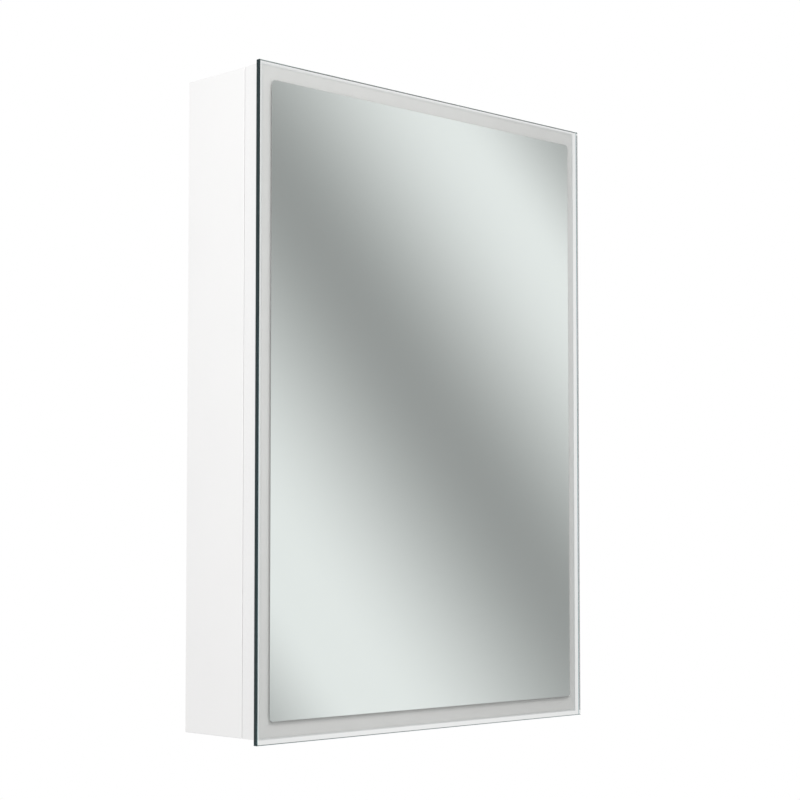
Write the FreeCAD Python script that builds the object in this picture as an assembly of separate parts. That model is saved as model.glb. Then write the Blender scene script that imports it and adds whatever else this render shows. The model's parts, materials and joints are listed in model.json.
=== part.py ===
"""Wall-hung bathroom mirror cabinet with one lit, handle-less mirror door.

Frame: the origin is the middle of the back face that lies on the wall.  +X is to the
right, +Y points into the wall and +Z is up, so the door faces -Y.  All sizes are in mm.
"""
import FreeCAD, Part
import math
import os

from FreeCAD import Vector

# ---------------------------------------------------------------- driving dimensions
BODY_WIDTH = 490.0          # across the side panels
BODY_HEIGHT = 693.0         # over the top and bottom panels
BODY_DEPTH = 93.0           # from the wall to the front edges of the panels
PANEL = 16.0                # lacquered board of the sides, top and bottom
BACK = 8.0                  # back panel
BACK_SEAT = 8.0             # how far the back panel reaches into each board
EDGE_ROUND = 0.8            # softened outer edges of the boards

DOOR_GAP = 0.8              # between the body and the closed door
CARRIER_DEPTH = 23.2        # door frame of mitred aluminium bars
CARRIER_BAR = 30.0          # width of the bar's lamp channel
CARRIER_LIP = 8.0           # flanges that hold the glass and the inner mirror
CARRIER_WALL = 1.6
TAPE = 1.0                  # foam tape between the bars and the glass
PANE = 2.85                 # each pane of the laminated door glass
FILM = 0.3                  # silver layer, or the clear bond round it
GLASS_SIDE_OVERHANG = 5.0   # glass beyond the body at each side
GLASS_TOP_OVERHANG = 2.0
GLASS_BOTTOM_OVERHANG = 5.0  # finger grip
GLASS_ARRIS = 0.4           # ground edge of the glass
CLEAR_BAND_SIDE = 17.6      # unsilvered border of the glass
CLEAR_BAND_TOP = 18.2
CLEAR_BAND_BOTTOM = 23.1
SILVER_CORNER = 4.0         # corner radius of the silver layer
INNER_PANE = 3.7            # mirror on the inside of the door

DIFFUSER = 2.0
DIFFUSER_LEDGE = 1.6
DIFFUSER_PLAY = 0.2
LED_WIDTH = 8.0
LED_BOARD = 1.2
LED_CHIP = 3.0
LED_CHIP_HEIGHT = 0.8
LED_PITCH = 16.0
LED_INSET = 9.0             # strip's outer edge from the bar's outer face

KEY_LEG = 34.0              # corner keys that join the bars
KEY_WIDTH = 12.0
KEY_PLATE = 2.0
KEY_SCREW_R = 1.5
KEY_CLEAR = 1.0             # keys to the inner mirror's layer

# ---------------------------------------------------------------- hinge
HINGE_PIN_R = 0.9
HINGE_RUNNING_FIT = 0.05
HINGE_BARREL_R = 1.9
HINGE_LEAF = 0.7
HINGE_LEAF_WIDTH = 13.0
HINGE_HOUSING = 0.4         # how far each leaf is let into its frame
HINGE_BARREL_CLEAR = 0.4    # barrel to the body's side
HINGE_END_CLEAR = 20.0      # hinge stops this far from the body's top and bottom
HINGE_KNUCKLE_GAP = 0.3
HINGE_KNUCKLE = 25.0        # nominal knuckle length
HINGE_SCREWS = 7            # on each leaf
LEAF_SCREW_R = 1.25
LEAF_SCREW_HEAD_R = 2.4
LEAF_SCREW_HEAD = 1.2
BODY_LEAF_SCREW = 14.0
DOOR_LEAF_SCREW = 6.0
SCREW_PLAY = 0.05

# ---------------------------------------------------------------- fittings
DOWEL_R = 4.0
DOWEL_LENGTH = 30.0
DOWEL_IN_SIDE = 10.0
DOWEL_PLAY = 0.05
DOWELS_PER_JOINT = 3

BACK_SCREW_R = 1.5
BACK_SCREW_HEAD_R = 3.0
BACK_SCREW_HEAD = 1.6
BACK_SCREW_LENGTH = 19.0

WALL_HOLE_R = 3.25
WALL_HOLE_INSET_X = 55.0    # from the body's sides
WALL_PLATE_OVER_BOX = 6.0   # load plates clear the electrics box by this much
LOAD_PLATE_R = 12.0
LOAD_PLATE = 1.5

SHELF = 5.0
SHELF_DEPTH = 66.0
SHELF_SIDE_PLAY = 1.5
SHELF_BACK_PLAY = 6.0
SHELF_EDGE = 0.6
SHELF_ROWS = (-4, 3)        # rows of support holes that the two shelves use
HOLE_ROW_PITCH = 32.0
HOLE_ROW_OFFSET = 16.0
HOLE_ROW_LIMIT = 8          # rows each way from the middle
HOLE_R = 2.5
HOLE_DEPTH = 10.0
SUPPORT_PLAY = 0.05
SUPPORT_SHANK = 9.0
SUPPORT_COLLAR_R = 4.0
SUPPORT_COLLAR = 1.0
SUPPORT_TONGUE = 7.0
SUPPORT_TONGUE_WIDTH = 6.0
SUPPORT_TONGUE_HEIGHT = 3.0
SUPPORT_INSET = 14.0        # support column from the shelf's front and back edge

CATCH_LENGTH = 40.0
CATCH_WIDTH = 13.0
CATCH_DEPTH = 16.0
CATCH_WALL = 2.0
CATCH_HEIGHT = 250.0        # each catch above and below the middle
CATCH_FRONT_GAP = 0.5       # magnet face behind the body's front
STRIKE = 0.5
STRIKE_PLAY = 3.0
MAGNET_PLAY = 0.1

BUFFER_R = 4.0
BUFFER = 0.5
BUFFER_INSET_Z = 24.0

# ---------------------------------------------------------------- electrics
BOX_WIDTH = 112.0
BOX_HEIGHT = 92.0
BOX_DEPTH = 38.0
BOX_WALL = 2.0
BOX_SIDE_GAP = 0.5
LID = 2.5
LID_ROUND = 2.0
LID_SCREW_R = 1.5
LID_SCREW_HEAD_R = 2.8
LID_SCREW_LENGTH = 12.0
LID_SCREW_INSET = 6.0
LID_BOSS_R = 4.6                # reaches into the tray's walls

SOCKET_X = 32.0             # socket's middle from the box's left side
SOCKET_Z = 40.0             # and above its floor
SOCKET_R = 21.0
SOCKET_FLANGE_R = 24.0
SOCKET_FLANGE = 2.0
SOCKET_WELL_R = 18.6
SOCKET_WELL = 15.0
SOCKET_FLOOR = 3.0
SOCKET_PIN_SPACING = 19.0
SOCKET_PIN_R = 2.5
SLEEVE_R = 3.4
SLEEVE_LENGTH = 9.0
EARTH_WIDTH = 4.0
EARTH = 0.8
EARTH_LENGTH = 12.0
FIT = 0.1                   # between a fitting and the hole it sits in

SWITCH_X = 26.0             # switch's middle from the box's right side
SWITCH_Z = 40.0
SWITCH_WIDTH = 15.0
SWITCH_HEIGHT = 24.0
SWITCH_DEPTH = 14.0
SWITCH_WALL = 1.2
SWITCH_FLANGE = 2.0
SWITCH_FLANGE_THICK = 1.6
ROCKER_PLAY = 0.4
ROCKER_TILT = 9.0           # each side of level
ROCKER_R = 26.0
ROCKER_THICK = 5.0
ROCKER_PIVOT_R = 1.2
ROCKER_PIVOT_BEHIND = 3.0   # pivot behind the switch's flange face
ROCKER_PIVOT_FIT = 0.05

DRIVER = (62.0, 17.0, 24.0)
DRIVER_FROM_LEFT = 14.0
TERMINAL = (24.0, 13.0, 16.0)
TERMINAL_FROM_RIGHT = 11.5
TERMINAL_Z = 44.0           # above the box's floor, clear of the driver
TERMINAL_SCREW_R = 1.6

INLET_X = 22.0              # mains inlet from the box's right side
INLET_Z = 74.0
INLET_R = 9.0
INLET_BORE_R = 3.6
INLET_COUNTERBORE = 2.0     # in the back panel, for the grommet's rear flange
GROMMET_FLANGE = 2.0
GROMMET_THICK = 1.5
LEAD_HOLE_R = 3.0
LEAD_BORE_R = 1.8
LEAD_X = 12.0               # lamp lead's hole from the box's right side
LEAD_Z = 68.0
DOOR_LEAD_INSET = 23.0      # lead's hole from the door bar's outer face
DOOR_LEAD_ABOVE = 80.0      # and above the bar's lower end

# ---------------------------------------------------------------- places that follow
HALF_W = BODY_WIDTH / 2
HALF_H = BODY_HEIGHT / 2
INNER_X = HALF_W - PANEL
INNER_Z = HALF_H - PANEL
BODY_FRONT = -BODY_DEPTH
DOOR_BACK = BODY_FRONT - DOOR_GAP
CARRIER_FRONT = DOOR_BACK - CARRIER_DEPTH
GLASS_BACK = CARRIER_FRONT - TAPE
FILM_BACK = GLASS_BACK - PANE
FILM_FRONT = FILM_BACK - FILM
GLASS_FRONT = FILM_FRONT - PANE
GLASS_HALF_W = HALF_W + GLASS_SIDE_OVERHANG
GLASS_TOP = HALF_H + GLASS_TOP_OVERHANG
GLASS_BOTTOM = -HALF_H - GLASS_BOTTOM_OVERHANG
SILVER_HALF_W = GLASS_HALF_W - CLEAR_BAND_SIDE
SILVER_TOP = GLASS_TOP - CLEAR_BAND_TOP
SILVER_BOTTOM = GLASS_BOTTOM + CLEAR_BAND_BOTTOM

HINGE_X = HALF_W + HINGE_BARREL_CLEAR + HINGE_BARREL_R
HINGE_Y = BODY_FRONT - DOOR_GAP / 2
HINGE_HALF = HALF_H - HINGE_END_CLEAR
LEAF_INNER_X = HALF_W - HINGE_LEAF_WIDTH
BODY_LEAF_FACE = BODY_FRONT + HINGE_HOUSING - HINGE_LEAF
DOOR_LEAF_FACE = DOOR_BACK - HINGE_HOUSING + HINGE_LEAF

BOX_RIGHT = INNER_X - BOX_SIDE_GAP
BOX_LEFT = BOX_RIGHT - BOX_WIDTH
BOX_BOTTOM = -INNER_Z + BOX_SIDE_GAP
BOX_TOP = BOX_BOTTOM + BOX_HEIGHT
BOX_BACK = -BACK
BOX_FRONT = BOX_BACK - BOX_DEPTH
LID_FRONT = BOX_FRONT - LID

SHELF_BACK_EDGE = -BACK - SHELF_BACK_PLAY
SHELF_FRONT_EDGE = SHELF_BACK_EDGE - SHELF_DEPTH
KEY_REAR = DOOR_BACK - CARRIER_WALL - INNER_PANE - FILM - KEY_CLEAR
SUPPORT_COLUMNS = (SHELF_BACK_EDGE - SUPPORT_INSET, SHELF_FRONT_EDGE + SUPPORT_INSET)

SIDES = ("bottom", "left", "top", "right")
X_AXIS, Y_AXIS, Z_AXIS = Vector(1, 0, 0), Vector(0, 1, 0), Vector(0, 0, 1)
MIDDLE = Vector(0, 0, 0)

nodes = {}


# ---------------------------------------------------------------- small helpers
def block(x0, x1, y0, y1, z0, z1):
    """A box between two opposite corners."""
    corner = Vector(min(x0, x1), min(y0, y1), min(z0, z1))
    return Part.makeBox(abs(x1 - x0), abs(y1 - y0), abs(z1 - z0), corner)


def rod(radius, length, x, y, z, axis):
    """A cylinder that starts at a point and runs along an axis."""
    return Part.makeCylinder(radius, length, Vector(x, y, z), axis)


def joined(shapes):
    """One solid from pieces that touch or overlap."""
    first, *rest = shapes
    return (first.fuse(rest) if rest else first).removeSplitter()


def without(shape, cutters):
    """A solid with several others taken out of it."""
    return shape.cut(Part.makeCompound(cutters)) if cutters else shape


def rounded(shape, radius, chosen):
    """Rounds the edges for which chosen(edge) is true."""
    edges = [e for e in shape.Edges if chosen(e)]
    return shape.makeFillet(radius, edges)


def runs_along(edge, axis):
    """True for a straight edge parallel to an axis."""
    span = edge.valueAt(edge.LastParameter) - edge.valueAt(edge.FirstParameter)
    return span.Length > 0 and abs(abs(span.normalize().dot(axis)) - 1) < 1e-6


def spread(first, last, count):
    """Evenly spaced places, both ends included."""
    step = (last - first) / (count - 1)
    return [first + step * i for i in range(count)]


def rounded_plate(half_w, z0, z1, y0, y1, corner):
    """An upright plate whose four corners are rounded."""
    plate = block(-half_w, half_w, y0, y1, z0, z1)
    return rounded(plate, corner, lambda e: runs_along(e, Y_AXIS))


def screw(x, y, z, axis, length, radius, head_r, head):
    """A countersunk screw with its head's face at the point, pointing along the axis."""
    top = Vector(x, y, z)
    cone = Part.makeCone(head_r, radius, head, top, axis)
    shank = Part.makeCylinder(radius, length - head, top + axis * head, axis)
    slot_half = head_r * 0.62
    body = joined([cone, shank])
    cross = [
        Part.makeBox(2 * slot_half, 0.4, 2 * 0.25),
        Part.makeBox(0.5, 0.4, 2 * slot_half),
    ]
    cross[0].translate(Vector(x - slot_half, y - 0.2, z - 0.25))
    cross[1].translate(Vector(x - 0.25, y - 0.2, z - slot_half))
    return body.cut(Part.makeCompound(cross))


def screw_hole(x, y, z, axis, length, radius, head_r, head):
    """The same outline with a little play, for cutting."""
    top = Vector(x, y, z) - axis * SCREW_PLAY
    play_r, play_head_r = radius + SCREW_PLAY, head_r + SCREW_PLAY
    cone = Part.makeCone(play_head_r, play_r, head + SCREW_PLAY, top, axis)
    shank = Part.makeCylinder(play_r, length + 2 * SCREW_PLAY, top, axis)
    return joined([cone, shank])


# ---------------------------------------------------------------- carcass
def dowel_places():
    """Middle of each dowel: the joint's side (-1 or 1), and its y and z."""
    depths = spread(-BACK - 14.0, BODY_FRONT + 16.0, DOWELS_PER_JOINT)
    levels = (-HALF_H + PANEL / 2, HALF_H - PANEL / 2)
    return [(side, y, z) for side in (-1, 1) for z in levels for y in depths]


def dowel(side, y, z, play=0.0):
    """A dowel across the joint of a side panel and a cross panel."""
    start = side * (INNER_X + DOWEL_IN_SIDE + play)
    length = DOWEL_LENGTH + 2 * play
    return rod(DOWEL_R + play, length, start, y, z, X_AXIS * -side)


def back_screw_places():
    """Screws that hold the back panel: along both sides and along top and bottom."""
    edge_x = INNER_X + BACK_SEAT / 2
    edge_z = INNER_Z + BACK_SEAT / 2
    upright = [(x, z) for x in (-edge_x, edge_x) for z in spread(-260.0, 260.0, 4)]
    across = [(x, z) for z in (-edge_z, edge_z) for x in spread(-120.0, 120.0, 2)]
    return upright + across


def back_screw_args(x, z):
    """Place and size of one back panel screw, driven from the wall side."""
    return (x, 0.0, z, -Y_AXIS, BACK_SCREW_LENGTH, BACK_SCREW_R,
            BACK_SCREW_HEAD_R, BACK_SCREW_HEAD)


def support_hole_levels():
    """Heights of the rows of shelf support holes."""
    rows = range(-HOLE_ROW_LIMIT, HOLE_ROW_LIMIT)
    return [HOLE_ROW_OFFSET + HOLE_ROW_PITCH * row for row in rows]


def hinge_screw_levels(shift):
    """Heights of one leaf's screws, each at the middle of one of the leaf's own fields."""
    reach = HINGE_HALF - HINGE_KNUCKLE
    return [z + shift for z in spread(-reach, reach - HINGE_KNUCKLE, HINGE_SCREWS)]


def body_leaf_screw_args(z):
    """One screw of the hinge's body leaf."""
    x = (LEAF_INNER_X + HALF_W) / 2
    return (x, BODY_LEAF_FACE, z, Y_AXIS, BODY_LEAF_SCREW, LEAF_SCREW_R,
            LEAF_SCREW_HEAD_R, LEAF_SCREW_HEAD)


def door_leaf_screw_args(z):
    """One screw of the hinge's door leaf."""
    x = (LEAF_INNER_X + HALF_W) / 2
    return (x, DOOR_LEAF_FACE, z, -Y_AXIS, DOOR_LEAF_SCREW, LEAF_SCREW_R,
            LEAF_SCREW_HEAD_R, LEAF_SCREW_HEAD)


def side_panel(side):
    """Left (-1) or right (1) board, with its rebate, dowel holes and support holes."""
    outer = side * HALF_W
    inner = side * INNER_X
    panel = block(outer, inner, 0, BODY_FRONT, -HALF_H, HALF_H)

    def outer_edge(edge):
        """The long outer edge at the front and the outer edges at top and bottom."""
        middle = edge.CenterOfMass
        if abs(middle.x - outer) > 1e-6:
            return False
        upright = runs_along(edge, Z_AXIS) and abs(middle.y - BODY_FRONT) < 1e-6
        return upright or runs_along(edge, Y_AXIS)

    panel = rounded(panel, EDGE_ROUND, outer_edge)
    seat = INNER_Z + BACK_SEAT
    cuts = [block(inner - side, inner + side * BACK_SEAT, 1, -BACK, -seat, seat)]
    cuts += [dowel(s, y, z, DOWEL_PLAY) for s, y, z in dowel_places() if s == side]
    for z in support_hole_levels():
        for y in SUPPORT_COLUMNS:
            cuts.append(rod(HOLE_R, HOLE_DEPTH, inner, y, z, X_AXIS * side))
    for x, z in back_screw_places():
        if x * side > INNER_X:
            cuts.append(screw_hole(*back_screw_args(x, z)))
    if side > 0:
        cuts.append(block(LEAF_INNER_X - SCREW_PLAY, HALF_W + 1, BODY_FRONT - 1,
                          BODY_FRONT + HINGE_HOUSING, -HINGE_HALF, HINGE_HALF))
        cuts += [screw_hole(*body_leaf_screw_args(z)) for z in hinge_screw_levels(0.0)]
    return without(panel, cuts)


def cross_panel(level):
    """Bottom (-1) or top (1) board between the side panels."""
    outer = level * HALF_H
    inner = level * INNER_Z
    panel = block(-INNER_X, INNER_X, 0, BODY_FRONT, outer, inner)
    panel = rounded(panel, EDGE_ROUND, lambda e: runs_along(e, X_AXIS)
                    and abs(e.CenterOfMass.z - outer) < 1e-6
                    and abs(e.CenterOfMass.y - BODY_FRONT) < 1e-6)
    cuts = [block(-HALF_W, HALF_W, 1, -BACK, inner - level, inner + level * BACK_SEAT)]
    for side, y, z in dowel_places():
        if z * level > 0:
            cuts.append(dowel(side, y, z, DOWEL_PLAY))
    for x, z in back_screw_places():
        if z * level > INNER_Z:
            cuts.append(screw_hole(*back_screw_args(x, z)))
    return without(panel, cuts)


def wall_hole_places():
    """The four wall screws."""
    half_x = HALF_W - WALL_HOLE_INSET_X
    half_z = -BOX_TOP - WALL_PLATE_OVER_BOX - LOAD_PLATE_R
    return [(x, z) for x in (-half_x, half_x) for z in (-half_z, half_z)]


def back_panel():
    """Back board in its rebate, with wall holes and the mains inlet."""
    reach_x, reach_z = INNER_X + BACK_SEAT, INNER_Z + BACK_SEAT
    play = SCREW_PLAY
    panel = block(-reach_x + play, reach_x - play, 0, -BACK, -reach_z + play, reach_z - play)
    cuts = [screw_hole(*back_screw_args(x, z)) for x, z in back_screw_places()]
    cuts += [rod(WALL_HOLE_R, BACK + 2, x, 1, z, -Y_AXIS) for x, z in wall_hole_places()]
    inlet_x, inlet_z = BOX_RIGHT - INLET_X, BOX_BOTTOM + INLET_Z
    cuts.append(rod(INLET_R, BACK + 2, inlet_x, 1, inlet_z, -Y_AXIS))
    cuts.append(rod(INLET_R + GROMMET_FLANGE + FIT, INLET_COUNTERBORE + 1, inlet_x, 1, inlet_z,
                    -Y_AXIS))
    return without(panel, cuts)


def load_plate(x, z):
    """A steel washer that spreads one wall screw's load."""
    plate = rod(LOAD_PLATE_R, LOAD_PLATE, x, -BACK, z, -Y_AXIS)
    return plate.cut(rod(WALL_HOLE_R, LOAD_PLATE + 2, x, -BACK + 1, z, -Y_AXIS))


def make_carcass():
    """Boards, dowels, back screws and load plates."""
    nodes["side_panel_left"] = side_panel(-1)
    nodes["side_panel_right"] = side_panel(1)
    nodes["bottom_panel"] = cross_panel(-1)
    nodes["top_panel"] = cross_panel(1)
    nodes["back_panel"] = back_panel()
    nodes["carcass_dowels"] = Part.makeCompound([dowel(*p) for p in dowel_places()])
    screws = [screw(*back_screw_args(x, z)) for x, z in back_screw_places()]
    nodes["back_panel_screws"] = Part.makeCompound(screws)
    plates = [load_plate(x, z) for x, z in wall_hole_places()]
    nodes["wall_load_plates"] = Part.makeCompound(plates)


# ---------------------------------------------------------------- shelves
def shelf(row):
    """A loose glass shelf with ground edges, lying on its four supports."""
    half = INNER_X - SHELF_SIDE_PLAY
    bottom = HOLE_ROW_OFFSET + HOLE_ROW_PITCH * row + SUPPORT_TONGUE_HEIGHT / 2
    plate = block(-half, half, SHELF_BACK_EDGE, SHELF_FRONT_EDGE, bottom, bottom + SHELF)
    return plate.makeChamfer(SHELF_EDGE, [e for e in plate.Edges if not runs_along(e, Z_AXIS)])


def shelf_support(side, y, z):
    """Shank in the board, collar against it and a flat tongue under the glass."""
    face = side * INNER_X
    inward = X_AXIS * -side
    shank = rod(HOLE_R - SUPPORT_PLAY, SUPPORT_SHANK + SUPPORT_COLLAR,
                face + side * SUPPORT_SHANK, y, z, inward)
    collar = rod(SUPPORT_COLLAR_R, SUPPORT_COLLAR, face, y, z, inward)
    # the collar is flat on top so that the glass clears it
    collar = collar.common(block(face, face - side * SUPPORT_COLLAR,
                                 y - SUPPORT_COLLAR_R, y + SUPPORT_COLLAR_R,
                                 z - SUPPORT_COLLAR_R, z + SUPPORT_TONGUE_HEIGHT / 2))
    shank = shank.cut(block(face, face - side * 2 * SUPPORT_COLLAR, y - HOLE_R, y + HOLE_R,
                            z + SUPPORT_TONGUE_HEIGHT / 2, z + 2 * HOLE_R))
    tongue = block(face - side * SUPPORT_COLLAR / 2, face - side * SUPPORT_TONGUE,
                   y - SUPPORT_TONGUE_WIDTH / 2, y + SUPPORT_TONGUE_WIDTH / 2,
                   z - SUPPORT_TONGUE_HEIGHT / 2, z + SUPPORT_TONGUE_HEIGHT / 2)
    tongue = rounded(tongue, 0.8, lambda e: runs_along(e, Z_AXIS)
                     and abs(e.CenterOfMass.x) < INNER_X - SUPPORT_TONGUE / 2)
    return joined([shank, collar, tongue])


def make_shelves():
    """Two shelves and their supports."""
    names = ("shelf_lower", "shelf_upper")
    supports = []
    for name, row in zip(names, SHELF_ROWS):
        nodes[name] = shelf(row)
        level = HOLE_ROW_OFFSET + HOLE_ROW_PITCH * row
        for side in (-1, 1):
            supports += [shelf_support(side, y, level) for y in SUPPORT_COLUMNS]
    nodes["shelf_supports"] = Part.makeCompound(supports)


# ---------------------------------------------------------------- door
def mitred(section, side):
    """A bar of the door's frame, mitred at both ends.

    The section is a list of rectangles (in0, in1, back0, back1): distances inward from
    the frame's outer face and backward from its front.  Each bar is made as the bottom
    one and turned about the door's middle.
    """
    upright = side in ("left", "right")
    half_length = (HALF_H if upright else HALF_W)
    edge = -(HALF_W if upright else HALF_H)
    parts = [block(-half_length, half_length, CARRIER_FRONT + b0, CARRIER_FRONT + b1,
                   edge + i0, edge + i1) for i0, i1, b0, b1 in section]
    bar = joined(parts)
    far = max(i1 for _, i1, _, _ in section) + 1.0
    front = CARRIER_FRONT - TAPE - 1.0
    corners = [(-half_length, edge), (half_length, edge),
               (half_length - far, edge + far), (-half_length + far, edge + far)]
    outline = Part.makePolygon([Vector(x, front, z) for x, z in corners + corners[:1]])
    wedge = Part.Face(outline).extrude(Y_AXIS * (CARRIER_DEPTH + TAPE + 2.0))
    bar = bar.common(wedge)
    turn = {"bottom": 0, "left": 90, "top": 180, "right": -90}[side]
    bar.rotate(MIDDLE, Y_AXIS, turn)
    return bar


def carrier_section():
    """Lamp channel with ledges for the diffuser, and two lips on its inner wall."""
    bar, wall, depth = CARRIER_BAR, CARRIER_WALL, CARRIER_DEPTH
    ledge_top = DIFFUSER + DIFFUSER_PLAY
    ledge_end = ledge_top + CARRIER_WALL
    return [
        (0.0, wall, 0.0, depth),
        (0.0, bar, depth - wall, depth),
        (bar - wall, bar, 0.0, depth),
        (bar - wall, bar + CARRIER_LIP, 0.0, wall),
        (bar - wall, bar + CARRIER_LIP, depth - wall, depth),
        (0.0, wall + DIFFUSER_LEDGE, ledge_top, ledge_end),
        (bar - wall - DIFFUSER_LEDGE, bar, ledge_top, ledge_end),
    ]


def key_screw_args():
    """Two screws of each corner key: place, direction."""
    in_x = HALF_W - CARRIER_BAR
    in_z = HALF_H - CARRIER_BAR
    depth = KEY_REAR - KEY_WIDTH / 2
    places = []
    for sx in (-1, 1):
        for sz in (-1, 1):
            along_x = (sx * (in_x - KEY_LEG * 0.7), depth, sz * (in_z - KEY_PLATE))
            along_z = (sx * (in_x - KEY_PLATE), depth, sz * (in_z - KEY_LEG * 0.7))
            places.append((along_x, Z_AXIS * sz))
            places.append((along_z, X_AXIS * sx))
    return places


def key_screw(place, axis, play=0.0):
    """A short pan-head screw through the key into the bar's inner wall."""
    x, y, z = place
    start = Vector(x, y, z)
    shank = Part.makeCylinder(KEY_SCREW_R + play, KEY_PLATE + CARRIER_WALL + 1.0, start, axis)
    if play:
        return shank
    head = Part.makeCylinder(KEY_SCREW_R * 1.8, 1.4, start - axis * 1.4, axis)
    return joined([head, shank])


def corner_key(sx, sz):
    """An angle that joins two bars behind the mitre."""
    in_x, in_z = HALF_W - CARRIER_BAR, HALF_H - CARRIER_BAR
    y0, y1 = KEY_REAR - KEY_WIDTH, KEY_REAR
    inner = sz * (in_z - KEY_PLATE)
    flat = block(sx * in_x, sx * (in_x - KEY_LEG), y0, y1, sz * in_z, inner)
    upright = block(sx * in_x, sx * (in_x - KEY_PLATE), y0, y1, sz * in_z, sz * (in_z - KEY_LEG))
    key = joined([flat, upright])
    holes = [key_screw(p, a, SCREW_PLAY) for p, a in key_screw_args()]
    return key.cut(Part.makeCompound(holes))


def led_strip(side):
    """Circuit board with one row of lamps."""
    upright = side in ("left", "right")
    half_length = (HALF_H if upright else HALF_W) - CARRIER_BAR
    edge = -(HALF_W if upright else HALF_H)
    floor = CARRIER_FRONT + CARRIER_DEPTH - CARRIER_WALL
    board = block(-half_length, half_length, floor - LED_BOARD, floor,
                  edge + LED_INSET, edge + LED_INSET + LED_WIDTH)
    middle = edge + LED_INSET + LED_WIDTH / 2
    face = floor - LED_BOARD
    count = int(2 * half_length // LED_PITCH)
    chips = [block(x - LED_CHIP / 2, x + LED_CHIP / 2, face - LED_CHIP_HEIGHT, face,
                   middle - LED_CHIP / 2, middle + LED_CHIP / 2)
             for x in spread(-(count - 1) * LED_PITCH / 2, (count - 1) * LED_PITCH / 2, count)]
    strip = joined([board] + chips)
    strip.rotate(MIDDLE, Y_AXIS, {"bottom": 0, "left": 90, "top": 180, "right": -90}[side])
    return strip


def door_glass():
    """Two panes with the silver layer and its clear bond between them."""
    def pane(y0, y1):
        """One pane with all its outer edges ground."""
        plate = block(-GLASS_HALF_W, GLASS_HALF_W, y0, y1, GLASS_BOTTOM, GLASS_TOP)
        outer = y0 if y0 == GLASS_FRONT else y1
        edges = [e for e in plate.Edges if abs(e.CenterOfMass.y - outer) < 1e-6]
        return plate.makeChamfer(GLASS_ARRIS, edges)

    nodes["door_front_pane"] = pane(GLASS_FRONT, FILM_FRONT)
    nodes["door_rear_pane"] = pane(FILM_BACK, GLASS_BACK)
    silver = rounded_plate(SILVER_HALF_W, SILVER_BOTTOM, SILVER_TOP, FILM_FRONT, FILM_BACK,
                           SILVER_CORNER)
    nodes["mirror_layer"] = silver
    whole = block(-GLASS_HALF_W, GLASS_HALF_W, FILM_FRONT, FILM_BACK, GLASS_BOTTOM, GLASS_TOP)
    nodes["clear_bond"] = whole.cut(silver)


def strike_place(level):
    """Middle of a catch on the left side."""
    return -INNER_X + CATCH_WIDTH / 2, level * CATCH_HEIGHT


def door_lead_place():
    """Where the lamp's lead enters the door frame."""
    return HALF_W - DOOR_LEAD_INSET, -HALF_H + DOOR_LEAD_ABOVE


def make_door():
    """Glass, frame bars, diffusers, lamps, keys, tape, inner mirror and strikes."""
    door_glass()
    bar_wall = CARRIER_BAR - CARRIER_WALL
    diffuser = [(CARRIER_WALL + DIFFUSER_PLAY, bar_wall - DIFFUSER_PLAY, 0.0, DIFFUSER)]
    for side in SIDES:
        bar = mitred(carrier_section(), side)
        holes = [key_screw(p, a, SCREW_PLAY) for p, a in key_screw_args()]
        if side == "right":
            holes.append(block(LEAF_INNER_X - SCREW_PLAY, HALF_W + 1, DOOR_BACK + 1,
                               DOOR_BACK - HINGE_HOUSING, -HINGE_HALF, HINGE_HALF))
            shift = HINGE_KNUCKLE
            holes += [screw_hole(*door_leaf_screw_args(z)) for z in hinge_screw_levels(shift)]
            x, z = door_lead_place()
            holes.append(rod(LEAD_HOLE_R, 2 * CARRIER_WALL + 2, x, DOOR_BACK + 1, z, -Y_AXIS))
        nodes["carrier_" + side] = without(bar, holes)
        nodes["diffuser_" + side] = mitred(diffuser, side)
        nodes["led_strip_" + side] = led_strip(side)
    corners = [(sx, sz) for sx in (-1, 1) for sz in (-1, 1)]
    nodes["corner_keys"] = Part.makeCompound([corner_key(sx, sz) for sx, sz in corners])
    screws = [key_screw(p, a) for p, a in key_screw_args()]
    nodes["corner_key_screws"] = Part.makeCompound(screws)
    tape = [mitred([(bar_wall, CARRIER_BAR + CARRIER_LIP, -TAPE, 0.0)], s) for s in SIDES]
    nodes["glass_tape"] = joined(tape)

    half_x, half_z = HALF_W - CARRIER_BAR - FIT, HALF_H - CARRIER_BAR - FIT
    seat = DOOR_BACK - CARRIER_WALL
    front = seat - INNER_PANE
    nodes["inner_mirror_pane"] = block(-half_x, half_x, seat, front, -half_z, half_z)
    nodes["inner_mirror_layer"] = block(-half_x, half_x, front, front - FILM, -half_z, half_z)

    half_length = (CATCH_LENGTH - STRIKE_PLAY) / 2
    half_width = (CATCH_WIDTH - STRIKE_PLAY) / 2
    for name, level in (("upper", 1), ("lower", -1)):
        x, z = strike_place(level)
        plate = block(x - half_width, x + half_width, DOOR_BACK, DOOR_BACK + STRIKE,
                      z - half_length, z + half_length)
        nodes["strike_plate_" + name] = rounded(plate, 2.0, lambda e: runs_along(e, Y_AXIS))

    x, z = door_lead_place()
    nodes["door_lead_grommet"] = grommet(x, DOOR_BACK, z, Y_AXIS, CARRIER_WALL,
                                         LEAD_HOLE_R, LEAD_BORE_R, DOOR_GAP * 0.5)


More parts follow.
